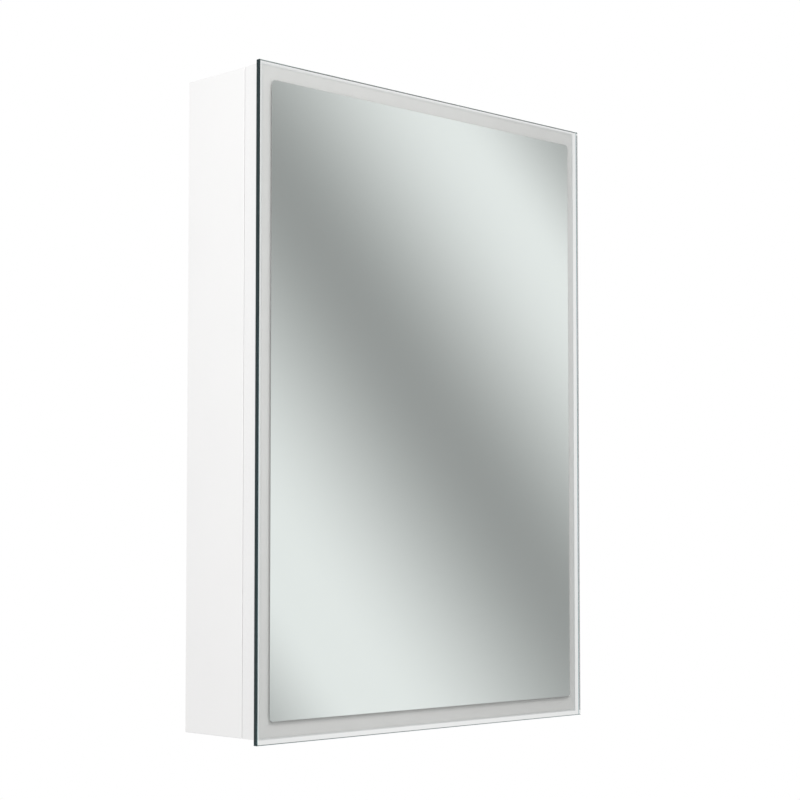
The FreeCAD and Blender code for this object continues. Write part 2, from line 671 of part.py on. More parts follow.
def grommet(x, y, z, outward, wall, hole_r, bore_r, proud):
    """A ring with a groove that grips the edge of a hole in a wall.

    The point is on the wall's outer face; outward points away from the wall.
    """
    face = Vector(x, y, z)
    sleeve_start = face + outward * proud
    length = proud + wall + GROMMET_THICK
    sleeve = Part.makeCylinder(hole_r - FIT / 2, length, sleeve_start, outward * -1)
    outer = Part.makeCylinder(hole_r + GROMMET_FLANGE, proud, sleeve_start, outward * -1)
    inner_start = face - outward * wall
    inner = Part.makeCylinder(hole_r + GROMMET_FLANGE, GROMMET_THICK, inner_start, outward * -1)
    bore = Part.makeCylinder(bore_r, length + 2, sleeve_start + outward, outward * -1)
    return joined([sleeve, outer, inner]).cut(bore)


# ---------------------------------------------------------------- hinge
def knuckle_spans():
    """Ends of every knuckle, from the bottom up."""
    count = 2 * int(HINGE_HALF // HINGE_KNUCKLE) + 1
    pitch = 2 * HINGE_HALF / count
    gap = HINGE_KNUCKLE_GAP / 2
    lows = [-HINGE_HALF + pitch * i for i in range(count)]
    return [(low + gap, low + pitch - gap) for low in lows]


def hinge_leaf(first, face, inner, screws):
    """One leaf: its plate, and every second knuckle from the first."""
    near = HALF_W - 0.1
    plate = block(LEAF_INNER_X, near, face, inner, -HINGE_HALF, HINGE_HALF)
    pieces = [plate]
    for low, high in knuckle_spans()[first::2]:
        pieces.append(rod(HINGE_BARREL_R, high - low, HINGE_X, HINGE_Y, low, Z_AXIS))
        pieces.append(block(near - 1.0, HINGE_X - HINGE_PIN_R, face, inner, low, high))
    bore = rod(HINGE_PIN_R + HINGE_RUNNING_FIT, 2 * HINGE_HALF + 2, HINGE_X, HINGE_Y,
               -HINGE_HALF - 1, Z_AXIS)
    return joined(pieces).cut(Part.makeCompound([bore] + screws))


def make_hinge():
    """Continuous hinge under the glass's right-hand overhang."""
    body_levels = hinge_screw_levels(0.0)
    door_levels = hinge_screw_levels(HINGE_KNUCKLE)
    body_holes = [screw_hole(*body_leaf_screw_args(z)) for z in body_levels]
    door_holes = [screw_hole(*door_leaf_screw_args(z)) for z in door_levels]
    nodes["hinge_leaf_body"] = hinge_leaf(0, BODY_LEAF_FACE, BODY_LEAF_FACE + HINGE_LEAF,
                                          body_holes)
    nodes["hinge_leaf_door"] = hinge_leaf(1, DOOR_LEAF_FACE, DOOR_LEAF_FACE - HINGE_LEAF,
                                          door_holes)
    nodes["hinge_pin"] = rod(HINGE_PIN_R, 2 * HINGE_HALF, HINGE_X, HINGE_Y, -HINGE_HALF, Z_AXIS)
    body_screws = [screw(*body_leaf_screw_args(z)) for z in body_levels]
    nodes["hinge_body_screws"] = Part.makeCompound(body_screws)
    door_screws = [screw(*door_leaf_screw_args(z)) for z in door_levels]
    nodes["hinge_door_screws"] = Part.makeCompound(door_screws)


# ---------------------------------------------------------------- catches and buffers
def make_catches():
    """Two magnetic catches on the left board, and soft buffers on its front edge."""
    back = BODY_FRONT + CATCH_DEPTH
    front = BODY_FRONT + CATCH_FRONT_GAP
    for name, level in (("upper", 1), ("lower", -1)):
        x, z = strike_place(level)
        half, tall = CATCH_WIDTH / 2, CATCH_LENGTH / 2
        housing = block(x - half, x + half, front, back, z - tall, z + tall)
        housing = rounded(housing, 1.5, lambda e: abs(e.CenterOfMass.x - x - half) < 1e-6
                          and not runs_along(e, Y_AXIS))
        pocket = (x - half + CATCH_WALL, x + half - CATCH_WALL, front - 1, back - CATCH_WALL,
                  z - tall + CATCH_WALL, z + tall - CATCH_WALL)
        nodes["catch_housing_" + name] = housing.cut(block(*pocket))
        play = MAGNET_PLAY
        nodes["catch_magnet_" + name] = block(
            pocket[0] + play, pocket[1] - play, front + 0.1, pocket[3],
            pocket[4] + play, pocket[5] - play)
    x = -(HALF_W + INNER_X) / 2
    spots = [(x, s * (HALF_H - BUFFER_INSET_Z)) for s in (-1, 1)]
    spots += [(s * HALF_W / 2, t * (HALF_H + INNER_Z) / 2) for s in (-1,) for t in (-1, 1)]
    buffers = [rod(BUFFER_R, BUFFER, bx, BODY_FRONT, bz, -Y_AXIS) for bx, bz in spots]
    nodes["door_buffers"] = Part.makeCompound(buffers)


# ---------------------------------------------------------------- electrics
def lid_screw_places():
    """Corners of the lid."""
    inset = LID_SCREW_INSET
    return [(x, z) for x in (BOX_LEFT + inset, BOX_RIGHT - inset)
            for z in (BOX_BOTTOM + inset, BOX_TOP - inset)]


def lid_screw_args(x, z):
    """One lid screw, with its head flush with the lid."""
    return (x, LID_FRONT, z, Y_AXIS, LID_SCREW_LENGTH, LID_SCREW_R, LID_SCREW_HEAD_R, 1.6)


def electrics_box():
    """Open tray on the back panel, with screw pillars and the inlet's hole."""
    outer = block(BOX_LEFT, BOX_RIGHT, BOX_BACK, BOX_FRONT, BOX_BOTTOM, BOX_TOP)
    hollow = block(BOX_LEFT + BOX_WALL, BOX_RIGHT - BOX_WALL, BOX_BACK - BOX_WALL,
                   BOX_FRONT - 1, BOX_BOTTOM + BOX_WALL, BOX_TOP - BOX_WALL)
    tray = outer.cut(hollow)
    pillars = [rod(LID_BOSS_R, BOX_DEPTH - BOX_WALL, x, BOX_BACK - BOX_WALL, z, -Y_AXIS)
               for x, z in lid_screw_places()]
    tray = joined([tray] + pillars)
    cuts = [screw_hole(*lid_screw_args(x, z)) for x, z in lid_screw_places()]
    cuts.append(rod(INLET_R, BOX_WALL + 2, BOX_RIGHT - INLET_X, BOX_BACK + 1,
                    BOX_BOTTOM + INLET_Z, -Y_AXIS))
    return without(tray, cuts)


def electrics_lid():
    """Front plate with openings for the socket, the switch and the lamp's lead."""
    plate = block(BOX_LEFT, BOX_RIGHT, BOX_FRONT, LID_FRONT, BOX_BOTTOM, BOX_TOP)
    plate = rounded(plate, LID_ROUND, lambda e: abs(e.CenterOfMass.y - LID_FRONT) < 1e-6)
    x, z = BOX_LEFT + SOCKET_X, BOX_BOTTOM + SOCKET_Z
    cuts = [rod(SOCKET_R + FIT, LID + 2, x, LID_FRONT - 1, z, Y_AXIS)]
    x, z = BOX_RIGHT - SWITCH_X, BOX_BOTTOM + SWITCH_Z
    half_w, half_h = SWITCH_WIDTH / 2 + FIT, SWITCH_HEIGHT / 2 + FIT
    cuts.append(block(x - half_w, x + half_w, LID_FRONT - 1, BOX_FRONT + 1,
                      z - half_h, z + half_h))
    cuts.append(rod(LEAD_HOLE_R, LID + 2, BOX_RIGHT - LEAD_X, LID_FRONT - 1,
                    BOX_BOTTOM + LEAD_Z, Y_AXIS))
    cuts += [screw_hole(*lid_screw_args(px, pz)) for px, pz in lid_screw_places()]
    return without(plate, cuts)


def socket_pins():
    """The two pin places in the socket, left and right."""
    x, z = BOX_LEFT + SOCKET_X, BOX_BOTTOM + SOCKET_Z
    return [(x - SOCKET_PIN_SPACING / 2, z), (x + SOCKET_PIN_SPACING / 2, z)]


def socket_insert():
    """Round well with a flange, a floor with two pin holes and slots for the earth."""
    x, z = BOX_LEFT + SOCKET_X, BOX_BOTTOM + SOCKET_Z
    front = LID_FRONT - SOCKET_FLANGE
    depth = SOCKET_WELL + SOCKET_FLOOR
    cup = rod(SOCKET_R, depth, x, front, z, Y_AXIS)
    flange = rod(SOCKET_FLANGE_R, SOCKET_FLANGE, x, front, z, Y_AXIS)
    flange = rounded(flange, 1.2, lambda e: abs(e.CenterOfMass.y - front) < 1e-6
                     and not runs_along(e, Y_AXIS))
    cup = joined([cup, flange])
    cuts = [rod(SOCKET_WELL_R, SOCKET_WELL + 1, x, front - 1, z, Y_AXIS)]
    cuts += [rod(SOCKET_PIN_R, depth + 2, px, front - 1, pz, Y_AXIS) for px, pz in socket_pins()]
    for s in (-1, 1):
        cuts.append(block(x - EARTH_WIDTH / 2 - FIT, x + EARTH_WIDTH / 2 + FIT, front + 2.0,
                          front + SOCKET_WELL, z + s * (SOCKET_WELL_R - 1),
                          z + s * (SOCKET_WELL_R + EARTH + FIT)))
    return without(cup, cuts)


def socket_contacts():
    """Two sleeves behind the floor and two earth strips in the well's wall."""
    x, z = BOX_LEFT + SOCKET_X, BOX_BOTTOM + SOCKET_Z
    front = LID_FRONT - SOCKET_FLANGE
    behind = front + SOCKET_WELL + SOCKET_FLOOR
    contacts = []
    for px, pz in socket_pins():
        sleeve = rod(SLEEVE_R, SLEEVE_LENGTH, px, behind, pz, Y_AXIS)
        contacts.append(sleeve.cut(rod(SOCKET_PIN_R, SLEEVE_LENGTH - 1, px, behind - 1, pz,
                                       Y_AXIS)))
    for s in (-1, 1):
        # the strip's middle stands a little into the well
        low, high = z + s * (SOCKET_WELL_R - 1.2), z + s * (SOCKET_WELL_R + EARTH)
        contacts.append(block(x - EARTH_WIDTH / 2, x + EARTH_WIDTH / 2, front + 2.5,
                              front + 2.5 + EARTH_LENGTH - 0.5, low, high))
    return contacts


def switch_place():
    """Middle of the switch and the face of its flange."""
    return BOX_RIGHT - SWITCH_X, LID_FRONT - SWITCH_FLANGE_THICK, BOX_BOTTOM + SWITCH_Z


def switch_housing():
    """Rectangular frame that snaps into the lid, open to the front."""
    x, front, z = switch_place()
    half_w, half_h = SWITCH_WIDTH / 2, SWITCH_HEIGHT / 2
    case = block(x - half_w, x + half_w, front, front + SWITCH_DEPTH, z - half_h, z + half_h)
    over = SWITCH_FLANGE
    flange = block(x - half_w - over, x + half_w + over, front, LID_FRONT,
                   z - half_h - over, z + half_h + over)
    case = joined([case, flange])
    wall = SWITCH_WALL
    cuts = [block(x - half_w + wall, x + half_w - wall, front - 1, front + SWITCH_DEPTH - wall,
                  z - half_h + wall, z + half_h - wall)]
    cuts.append(rod(ROCKER_PIVOT_R + ROCKER_PIVOT_FIT, SWITCH_WIDTH - 0.8, x - half_w + 0.4,
                    front + ROCKER_PIVOT_BEHIND, z, X_AXIS))
    return without(case, cuts)


def switch_rocker():
    """Rocker with a shallow hollow face, at rest with its lower end pressed in."""
    x, front, z = switch_place()
    half_w = SWITCH_WIDTH / 2 - SWITCH_WALL - ROCKER_PLAY
    half_h = SWITCH_HEIGHT / 2 - SWITCH_WALL - 2 * ROCKER_PLAY
    pivot_y = front + ROCKER_PIVOT_BEHIND
    face = front - 1.2
    body = block(x - half_w, x + half_w, face, face + ROCKER_THICK, z - half_h, z + half_h)
    hollow = rod(ROCKER_R, SWITCH_WIDTH, x - SWITCH_WIDTH / 2, face - ROCKER_R + 1.4, z, X_AXIS)
    pin_half = SWITCH_WIDTH / 2 - 0.6
    pin = rod(ROCKER_PIVOT_R, 2 * pin_half, x - pin_half, pivot_y, z, X_AXIS)
    rocker = joined([body.cut(hollow), pin])
    rocker.rotate(Vector(x, pivot_y, z), X_AXIS, ROCKER_TILT)
    return rocker


def led_driver():
    """Slim power supply beside the terminal block, with ribs on its front."""
    length, depth, height = DRIVER
    x0, z0 = BOX_LEFT + DRIVER_FROM_LEFT, BOX_BOTTOM + BOX_WALL + 0.5
    back = BOX_BACK - BOX_WALL
    case = block(x0, x0 + length, back, back - depth, z0 + 5.0, z0 + 5.0 + height)
    case = rounded(case, 1.5, lambda e: runs_along(e, Z_AXIS))
    feet = block(x0 + 2.0, x0 + length - 2.0, back, back - 1.5, z0, z0 + 10.0 + height)
    grooves = [block(x, x + 1.5, back - depth - 1, back - depth + 0.8, z0, z0 + 10.0 + height)
               for x in spread(x0 + 10.0, x0 + length - 12.0, 8)]
    return without(joined([case, feet]), grooves)


def terminal_block():
    """Three-way terminal strip with its screw wells."""
    width, depth, height = TERMINAL
    x1, z0 = BOX_RIGHT - TERMINAL_FROM_RIGHT, BOX_BOTTOM + TERMINAL_Z
    back = BOX_BACK - BOX_WALL
    strip = block(x1 - width, x1, back, back - depth, z0, z0 + height)
    pitch = width / 3
    wells = [rod(TERMINAL_SCREW_R, 4.0, x1 - width + pitch * (i + 0.5), back - depth, zz, Y_AXIS)
             for i in range(3) for zz in (z0 + 4.0, z0 + height - 4.0)]
    slots = [block(x1 - width + pitch * i - 0.5, x1 - width + pitch * i + 0.5, back - depth - 1,
                   back - depth + 3.0, z0 - 1, z0 + height + 1) for i in (1, 2)]
    return without(strip, wells + slots)


def make_electrics():
    """Tray, lid, socket, switch, driver, terminals, grommets and screws."""
    nodes["electrics_box"] = electrics_box()
    nodes["electrics_lid"] = electrics_lid()
    nodes["socket_insert"] = socket_insert()
    nodes["socket_contacts"] = Part.makeCompound(socket_contacts())
    nodes["switch_housing"] = switch_housing()
    nodes["switch_rocker"] = switch_rocker()
    nodes["led_driver"] = led_driver()
    nodes["terminal_block"] = terminal_block()
    screws = [screw(*lid_screw_args(x, z)) for x, z in lid_screw_places()]
    nodes["lid_screws"] = Part.makeCompound(screws)
    nodes["mains_inlet_grommet"] = grommet(
        BOX_RIGHT - INLET_X, BOX_BACK - BOX_WALL, BOX_BOTTOM + INLET_Z, -Y_AXIS,
        BACK + BOX_WALL - INLET_COUNTERBORE, INLET_R, INLET_BORE_R, GROMMET_THICK)
    nodes["lamp_lead_grommet"] = grommet(
        BOX_RIGHT - LEAD_X, LID_FRONT, BOX_BOTTOM + LEAD_Z, -Y_AXIS, LID, LEAD_HOLE_R,
        LEAD_BORE_R, GROMMET_THICK)


# ---------------------------------------------------------------- build and export
make_carcass()
make_shelves()
make_door()
make_hinge()
make_catches()
make_electrics()

os.makedirs("parts", exist_ok=True)
for name, shape in nodes.items():
    for solid in shape.Solids:
        if not solid.isValid() or solid.Volume <= 0:
            raise RuntimeError("bad solid in " + name)
    if not shape.Solids:
        raise RuntimeError("no solid in " + name)
    shape.exportStep(os.path.join("parts", name + ".step"))
print(len(nodes), "nodes written")
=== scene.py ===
import json
import math

import bmesh
import bpy
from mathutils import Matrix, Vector

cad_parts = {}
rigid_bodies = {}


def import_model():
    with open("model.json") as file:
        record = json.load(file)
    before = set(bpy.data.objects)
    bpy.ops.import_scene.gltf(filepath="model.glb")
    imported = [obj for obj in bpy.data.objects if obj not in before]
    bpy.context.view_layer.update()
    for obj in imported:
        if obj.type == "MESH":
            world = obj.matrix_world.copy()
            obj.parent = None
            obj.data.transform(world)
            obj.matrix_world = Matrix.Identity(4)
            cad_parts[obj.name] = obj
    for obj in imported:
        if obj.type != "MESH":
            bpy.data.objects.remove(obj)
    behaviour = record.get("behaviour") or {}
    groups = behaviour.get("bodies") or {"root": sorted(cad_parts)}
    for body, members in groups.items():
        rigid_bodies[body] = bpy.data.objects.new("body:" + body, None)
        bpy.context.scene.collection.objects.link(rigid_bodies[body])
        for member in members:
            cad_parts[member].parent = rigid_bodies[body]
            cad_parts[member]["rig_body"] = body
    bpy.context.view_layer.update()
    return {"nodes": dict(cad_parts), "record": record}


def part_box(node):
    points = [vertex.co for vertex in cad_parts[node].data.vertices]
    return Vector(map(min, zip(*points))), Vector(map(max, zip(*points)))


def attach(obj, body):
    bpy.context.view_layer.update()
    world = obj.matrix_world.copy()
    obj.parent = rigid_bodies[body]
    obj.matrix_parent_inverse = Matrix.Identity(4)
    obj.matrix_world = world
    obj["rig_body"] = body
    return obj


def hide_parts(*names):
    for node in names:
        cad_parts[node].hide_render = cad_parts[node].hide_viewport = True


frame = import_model()
node = frame["nodes"]
slot_of_node = {part["node"]: part["material_slot"] for part in frame["record"]["subparts"]}

# ---------------------------------------------------------------- small tools


def grey(value, warm=0.0):
    """A grey in linear light, warmer as warm grows."""
    return (value * (1 + warm), value, value * (1 - warm), 1.0)


def material(name, colour, roughness, metallic=0.0, **sockets):
    """A material with one Principled shader, whose plain values are set on its own sockets."""
    made = bpy.data.materials.new(name)
    made.use_nodes = True
    tree = made.node_tree
    shader = tree.nodes["Principled BSDF"]
    shader.inputs["Base Color"].default_value = colour
    shader.inputs["Roughness"].default_value = roughness
    shader.inputs["Metallic"].default_value = metallic
    for socket, value in sockets.items():
        shader.inputs[socket.replace("_", " ")].default_value = value
    return made, tree, shader


def place(tree, scale=(1, 1, 1)):
    """Object coordinates in metres, stretched by scale."""
    source = tree.nodes.new("ShaderNodeTexCoord")
    mapping = tree.nodes.new("ShaderNodeMapping")
    mapping.inputs["Scale"].default_value = scale
    tree.links.new(source.outputs["Object"], mapping.inputs["Vector"])
    return mapping.outputs["Vector"]


def noise(tree, scale, detail=3.0, stretch=(1, 1, 1), roughness=0.5):
    """Noise of that many cells a metre, with detail finer octaves."""
    made = tree.nodes.new("ShaderNodeTexNoise")
    made.inputs["Scale"].default_value = scale
    made.inputs["Detail"].default_value = detail
    made.inputs["Roughness"].default_value = roughness
    tree.links.new(place(tree, stretch), made.inputs["Vector"])
    return made.outputs["Fac"]


def cells(tree, scale, output="Distance"):
    """Voronoi cells, that many a metre."""
    made = tree.nodes.new("ShaderNodeTexVoronoi")
    made.feature = "F1"
    made.inputs["Scale"].default_value = scale
    tree.links.new(place(tree), made.inputs["Vector"])
    return made.outputs[output]


def between(tree, factor, low, high, low_at=0.0, high_at=1.0):
    """factor's stretch from low_at to high_at, turned to a number from low to high."""
    made = tree.nodes.new("ShaderNodeMapRange")
    ends = {"From Min": low_at, "From Max": high_at, "To Min": low, "To Max": high}
    for socket, value in ends.items():
        made.inputs[socket].default_value = value
    tree.links.new(factor, made.inputs["Value"])
    return made.outputs["Result"]


def arithmetic(tree, operation, *values):
    """One math node. Each value is a number or another node's output."""
    made = tree.nodes.new("ShaderNodeMath")
    made.operation = operation
    for socket, value in zip(made.inputs, values):
        if isinstance(value, (int, float)):
            socket.default_value = value
        else:
            tree.links.new(value, socket)
    return made.outputs[0]


def ramp(tree, factor, stops, smooth="LINEAR"):
    """Colours along a factor, from (place, colour) stops."""
    made = tree.nodes.new("ShaderNodeValToRGB")
    made.color_ramp.interpolation = smooth
    elements = made.color_ramp.elements
    while len(elements) < len(stops):
        elements.new(0.5)
    for element, (position, colour) in zip(elements, stops):
        element.position = position
        element.color = colour
    tree.links.new(factor, made.inputs["Fac"])
    return made.outputs["Color"]


def bump(tree, shader, height, depth):
    """A bump from a height of 0 to 1, depth metres deep."""
    made = tree.nodes.new("ShaderNodeBump")
    made.inputs["Strength"].default_value = 1.0
    made.inputs["Distance"].default_value = depth
    tree.links.new(height, made.inputs["Height"])
    tree.links.new(made.outputs["Normal"], shader.inputs["Normal"])


def set_colour(tree, shader, factor, stops):
    tree.links.new(ramp(tree, factor, stops), shader.inputs["Base Color"])


def set_roughness(tree, shader, factor, low, high, low_at=0.3, high_at=0.7):
    tree.links.new(between(tree, factor, low, high, low_at, high_at), shader.inputs["Roughness"])


# ---------------------------------------------------------------- materials


def lacquered_board():
    """Sprayed white lacquer on board: a faint orange peel and a barely uneven gloss."""
    made, tree, shader = material("lacquered_board", grey(0.9), 0.3,
                                  Coat_Weight=0.25, Coat_Roughness=0.12)
    set_colour(tree, shader, noise(tree, 9, 4), [(0.3, grey(0.885, 0.004)), (0.7, grey(0.9, 0.004))])
    set_roughness(tree, shader, noise(tree, 60, 3), 0.29, 0.36)
    bump(tree, shader, noise(tree, 260, 1), 0.000012)
    return made


def white_back_board():
    """Paper-faced hardboard, flatter than the lacquer, with a fine felt grain."""
    made, tree, shader = material("white_back_board", grey(0.82), 0.55)
    set_colour(tree, shader, noise(tree, 160, 6), [(0.3, grey(0.80, 0.006)), (0.7, grey(0.825, 0.006))])
    set_roughness(tree, shader, noise(tree, 300, 4), 0.48, 0.64)
    bump(tree, shader, noise(tree, 700, 2, (1, 1, 0.4)), 0.00002)
    return made


def beech_dowel():
    """Beech with short flecks along the dowel."""
    made, tree, shader = material("beech_dowel", (0.62, 0.4, 0.22, 1), 0.6)
    set_colour(tree, shader, noise(tree, 300, 5, (0.15, 1, 1)),
               [(0.3, (0.5, 0.29, 0.14, 1)), (0.55, (0.64, 0.42, 0.24, 1)),
                (0.75, (0.74, 0.53, 0.34, 1))])
    bump(tree, shader, noise(tree, 900, 3, (0.1, 1, 1)), 0.00008)
    return made


def white_powder_coat():
    """Fine-textured powder coat on aluminium."""
    made, tree, shader = material("white_powder_coat", grey(0.86), 0.45)
    set_colour(tree, shader, noise(tree, 700, 4), [(0.3, grey(0.845, 0.003)), (0.7, grey(0.875, 0.003))])
    set_roughness(tree, shader, noise(tree, 500, 3), 0.38, 0.52)
    bump(tree, shader, noise(tree, 1100, 2), 0.00002)
    return made


def opal_acrylic():
    """Satin opal sheet with a finely frosted face. A faint glow of its own stands in for the light
    that soaks into it."""
    made, tree, shader = material("opal_acrylic", grey(0.76, 0.01), 0.5, Emission_Strength=0.03)
    shader.inputs["Emission Color"].default_value = grey(1.0, 0.02)
    set_colour(tree, shader, noise(tree, 40, 3), [(0.3, grey(0.765, 0.014)), (0.7, grey(0.79, 0.014))])
    set_roughness(tree, shader, noise(tree, 900, 2), 0.42, 0.58)
    bump(tree, shader, noise(tree, 1600, 1), 0.00001)
    return made


def clear_glass():
    """Float glass: clear, with the slightest green."""
    made, tree, shader = material("clear_glass", (0.985, 0.995, 0.99, 1), 0.0,
                                  Transmission_Weight=1.0, IOR=1.5)
    set_colour(tree, shader, noise(tree, 6, 2),
               [(0.3, (0.98, 0.992, 0.987, 1)), (0.7, (0.985, 0.995, 0.99, 1))])
    return made


def glass_edge(name, dark, light):
    """The polished edge, tinted green-blue for the light that is lost on its way along the pane. Each
    copy gets its own tone: the upright edges' copy is darker than the level edges' as painted shade.
    """
    made, tree, shader = material(name, light, 0.0, Transmission_Weight=0.94, IOR=1.5)
    set_colour(tree, shader, noise(tree, 60, 2), [(0.3, dark), (0.7, light)])
    return made


def green_edge():
    """A shelf's ground edge: satin and bottle green, where light from the whole shelf comes out."""
    made, tree, shader = material("green_edge", (0.25, 0.62, 0.5, 1), 0.12,
                                  Transmission_Weight=0.55, IOR=1.5)
    set_colour(tree, shader, noise(tree, 90, 3),
               [(0.3, (0.2, 0.55, 0.43, 1)), (0.7, (0.32, 0.68, 0.56, 1))])
    set_roughness(tree, shader, noise(tree, 1500, 3), 0.12, 0.24)
    return made


def silvering():
    """The mirror's silver, seen through faintly green glass."""
    made, tree, shader = material("silvering", (0.9, 0.945, 0.925, 1), 0.0, 1.0)
    set_colour(tree, shader, noise(tree, 3, 2),
               [(0.3, (0.897, 0.943, 0.925, 1)), (0.7, (0.903, 0.947, 0.929, 1))])
    return made


def clear_bond():
    """The film between the door's two panes."""
    made, tree, shader = material("clear_bond", (0.95, 0.97, 0.96, 1), 0.02,
                                  Transmission_Weight=1.0, IOR=1.49)
    set_colour(tree, shader, noise(tree, 30, 2),
               [(0.3, (0.94, 0.96, 0.95, 1)), (0.7, (0.96, 0.98, 0.97, 1))])
    return made


def foam_tape():
    """Closed-cell foam: small open bubbles on a matt white, each bubble's pit darkened with painted
    shade.
    """
    made, tree, shader = material("foam_tape", grey(0.7), 0.85)
    # painted shade: darker towards each bubble's middle, where the bump below sinks it
    set_colour(tree, shader, cells(tree, 2200), [(0.0, grey(0.55, 0.01)), (0.5, grey(0.76, 0.01))])
    bump(tree, shader, cells(tree, 2200), 0.00012)
    return made


def circuit_board():
    """White solder mask with copper pads showing through as faint bars."""
    made, tree, shader = material("circuit_board", grey(0.8), 0.35)
    bars = tree.nodes.new("ShaderNodeTexWave")
    bars.inputs["Scale"].default_value = 40
    bars.inputs["Distortion"].default_value = 0.0
    tree.links.new(place(tree), bars.inputs["Vector"])
    set_colour(tree, shader, bars.outputs["Fac"],
               [(0.0, grey(0.78)), (0.9, grey(0.8)), (0.97, (0.62, 0.42, 0.22, 1))])
    set_roughness(tree, shader, noise(tree, 600, 3), 0.3, 0.42)
    bump(tree, shader, noise(tree, 1800, 2), 0.00003)
    return made


def zinc_steel():
    """Zinc-plated sheet with a soft spangle."""
    made, tree, shader = material("zinc_steel", (0.62, 0.64, 0.66, 1), 0.35, 1.0)
    set_colour(tree, shader, cells(tree, 260, "Color"),
               [(0.0, (0.52, 0.54, 0.57, 1)), (1.0, (0.7, 0.71, 0.72, 1))])
    set_roughness(tree, shader, noise(tree, 900, 4), 0.3, 0.45)
    bump(tree, shader, noise(tree, 2400, 3), 0.00002)
    return made


def stainless_steel():
    """Brushed along its length."""
    made, tree, shader = material("stainless_steel", (0.6, 0.59, 0.57, 1), 0.28, 1.0)
    grain = noise(tree, 2600, 5, (1, 1, 0.02), 0.6)
    set_colour(tree, shader, grain, [(0.3, (0.57, 0.56, 0.54, 1)), (0.7, (0.64, 0.63, 0.61, 1))])
    set_roughness(tree, shader, grain, 0.29, 0.38)
    bump(tree, shader, grain, 0.000008)
    return made


def nickel_plated():
    """Bright plating, with a little orange in its grey."""
    made, tree, shader = material("nickel_plated", (0.66, 0.63, 0.58, 1), 0.18, 1.0)
    set_colour(tree, shader, noise(tree, 200, 3),
               [(0.3, (0.62, 0.59, 0.54, 1)), (0.7, (0.7, 0.67, 0.62, 1))])
    set_roughness(tree, shader, noise(tree, 1200, 4), 0.12, 0.26)
    bump(tree, shader, noise(tree, 3000, 2), 0.00001)
    return made


def white_plastic():
    """Moulded plastic with a fine spark-eroded grain."""
    made, tree, shader = material("white_plastic", grey(0.8), 0.42)
    set_colour(tree, shader, noise(tree, 120, 3), [(0.3, grey(0.775, 0.006)), (0.7, grey(0.8, 0.006))])
    set_roughness(tree, shader, noise(tree, 800, 3), 0.36, 0.5)
    bump(tree, shader, noise(tree, 3600, 3), 0.00004)
    return made


def ferrite_magnet():
    """Sintered black ceramic with pits."""
    made, tree, shader = material("ferrite_magnet", grey(0.05), 0.55)
    set_colour(tree, shader, noise(tree, 1500, 5), [(0.3, grey(0.03)), (0.7, grey(0.075))])
    set_roughness(tree, shader, noise(tree, 900, 3), 0.45, 0.7)
    bump(tree, shader, noise(tree, 2200, 4), 0.00006)
    return made


def clear_silicone():
    """Soft cast bumpers, cloudy and slightly tacky."""
    made, tree, shader = material("clear_silicone", (0.86, 0.88, 0.89, 1), 0.25, Subsurface_Weight=0.6,
                                  Subsurface_Scale=0.002, IOR=1.41)
    set_colour(tree, shader, noise(tree, 500, 2),
               [(0.3, (0.8, 0.83, 0.84, 1)), (0.7, (0.88, 0.9, 0.91, 1))])
    bump(tree, shader, noise(tree, 1200, 2), 0.00003)
    return made


def brass_contact():
    """The socket's spring contacts."""
    made, tree, shader = material("brass_contact", (0.8, 0.58, 0.26, 1), 0.25, 1.0)
    set_colour(tree, shader, noise(tree, 900, 4),
               [(0.3, (0.72, 0.5, 0.2, 1)), (0.7, (0.85, 0.64, 0.31, 1))])
    set_roughness(tree, shader, noise(tree, 1500, 3), 0.29, 0.4)
    bump(tree, shader, noise(tree, 2500, 3), 0.00002)
    return made


def grey_plastic():
    """The driver's and the terminals' cases."""
    made, tree, shader = material("grey_plastic", grey(0.3), 0.45)
    set_colour(tree, shader, noise(tree, 200, 3), [(0.3, grey(0.27)), (0.7, grey(0.32))])
    set_roughness(tree, shader, noise(tree, 900, 3), 0.38, 0.55)
    bump(tree, shader, noise(tree, 3200, 3), 0.00005)
    return made


def grey_rubber():
    """The grommets."""
    made, tree, shader = material("grey_rubber", grey(0.12), 0.7)
    set_colour(tree, shader, noise(tree, 400, 4), [(0.3, grey(0.1)), (0.7, grey(0.15))])
    set_roughness(tree, shader, noise(tree, 1200, 3), 0.6, 0.8)
    bump(tree, shader, noise(tree, 2600, 3), 0.00005)
    return made


MATERIALS = {make.__name__: make() for make in (
    lacquered_board, white_back_board, beech_dowel, white_powder_coat, opal_acrylic, clear_glass,
    silvering, clear_bond, foam_tape, circuit_board, zinc_steel, stainless_steel, nickel_plated,
    white_plastic, ferrite_magnet, clear_silicone, brass_contact, grey_plastic, grey_rubber)}

for name, slot in slot_of_node.items():
    data = node[name].data
    data.materials.clear()
    data.materials.append(MATERIALS[slot])

# ---------------------------------------------------------------- pieces

BOARD_EDGE_R = 0.0008       # along the boards' front and back edges
BOARD_END_R = 0.0006        # across the side boards' ends
BAR_EDGE_R = 0.0005         # the back edges of the lamp frame's bars
TRAY_CORNER_R = 0.002
GLASS_ARRIS = 0.0004
SHELF_ARRIS = 0.0005
RECESS_MARK = 0.0002        # how deep the CAD's screw recesses are
RECESS_DEEPER = 0.0009      # how much deeper they are made
SAME_PLACE = 1e-5


def piece(name, mesh, materials, body, replaced=()):
    """A new mesh object that rides on body and stands for the replaced CAD nodes."""
    made = bpy.data.objects.new(name, mesh)
    bpy.context.scene.collection.objects.link(made)
    for each in materials:
        mesh.materials.append(each)
    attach(made, body)
    if replaced:
        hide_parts(*replaced)
    return made


